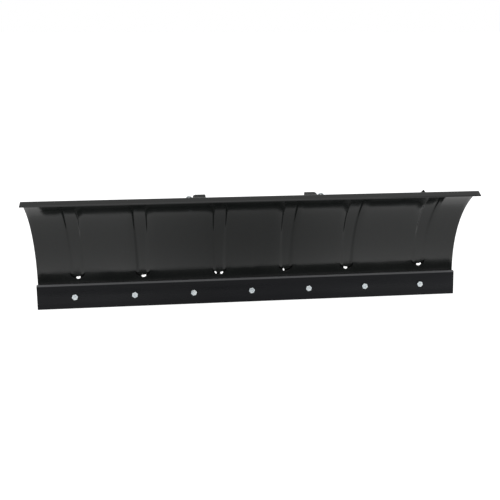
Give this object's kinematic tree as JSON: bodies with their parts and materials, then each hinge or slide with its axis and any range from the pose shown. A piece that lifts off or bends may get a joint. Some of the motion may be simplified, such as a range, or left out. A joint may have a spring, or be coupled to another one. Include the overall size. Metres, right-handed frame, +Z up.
{
  "type": "snow plow blade",
  "caption": "Curved, fluted steel snow blade with a bolted wear bar, on a spring-loaded trip frame with a turret plate and height-adjustable skid shoes.",
  "frame": {"origin": "on the floor under the middle of the whole assembly", "axes": "+X along the blade, -Y the way the blade pushes, +Z up"},
  "size_m": [1.532, 0.4531, 0.4335],
  "materials": {
    "blade_paint": "gloss dark grey powder coat",
    "bar_paint": "satin black on rolled bar",
    "frame_paint": "satin black powder coat",
    "zinc": "bright zinc plate",
    "spring_steel": "zinc-plated spring wire",
    "shoe_iron": "black painted casting",
    "pad_rubber": "moulded rubber"
  },
  "bodies": {
    "trip_frame": {"ear_left": "frame_paint", "ear_right": "frame_paint", "cross_tube": "frame_paint", "turret_plate_top": "frame_paint", "turret_plate_bottom": "frame_paint", "spring_bar": "frame_paint", "spring_bar_collars": "zinc", "stop_pad_left": "pad_rubber", "stop_pad_right": "pad_rubber", "trip_spring_left": "spring_steel", "trip_spring_right": "spring_steel"},
    "blade": {"moldboard": "blade_paint", "wear_bar": "bar_paint", "wear_bar_bolts": "zinc", "wear_bar_washers": "zinc", "wear_bar_nuts": "zinc", "bottom_rail": "blade_paint", "rib_1": "blade_paint", "rib_2": "blade_paint", "rib_3": "blade_paint", "rib_4": "blade_paint", "rib_5": "blade_paint", "rib_6": "blade_paint", "marker_tab": "blade_paint", "top_bar": "blade_paint", "spring_bracket_left": "blade_paint", "spring_bracket_right": "blade_paint", "spring_eyebolt_left": "zinc", "spring_eyebolt_right": "zinc", "eyebolt_nuts": "zinc", "pivot_lug_left_inner": "blade_paint", "pivot_lug_left_outer": "blade_paint", "pivot_lug_right_inner": "blade_paint", "pivot_lug_right_outer": "blade_paint", "pivot_pin_left": "zinc", "pivot_pin_right": "zinc", "pivot_split_pins": "zinc", "skid_sleeve_left": "blade_paint", "skid_sleeve_right": "blade_paint", "skid_bracket_left": "blade_paint", "skid_bracket_right": "blade_paint"},
    "shoe_left": {"skid_dish_left": "shoe_iron", "skid_post_left": "zinc", "skid_spacers_left": "zinc", "lynch_pin_left": "zinc"},
    "shoe_right": {"skid_dish_right": "shoe_iron", "skid_post_right": "zinc", "skid_spacers_right": "zinc", "lynch_pin_right": "zinc"}
  },
  "joints": [
    {"name": "trip", "type": "hinge", "parent": "trip_frame", "child": "blade", "pos_m": [0.01, 0.00955, 0.058], "axis": [1, 0, 0], "range_deg": [0, 45], "stiffness_Nm_per_rad": 60, "springref_deg": -68.75, "deforming": ["trip_spring_left", "trip_spring_right"]},
    {"name": "shoe_height_left", "type": "slide", "parent": "blade", "child": "shoe_left", "axis": [0, 0, 1], "range_m": [-0.03, 0]},
    {"name": "shoe_height_right", "type": "slide", "parent": "blade", "child": "shoe_right", "axis": [0, 0, 1], "range_m": [-0.03, 0]}
  ]
}
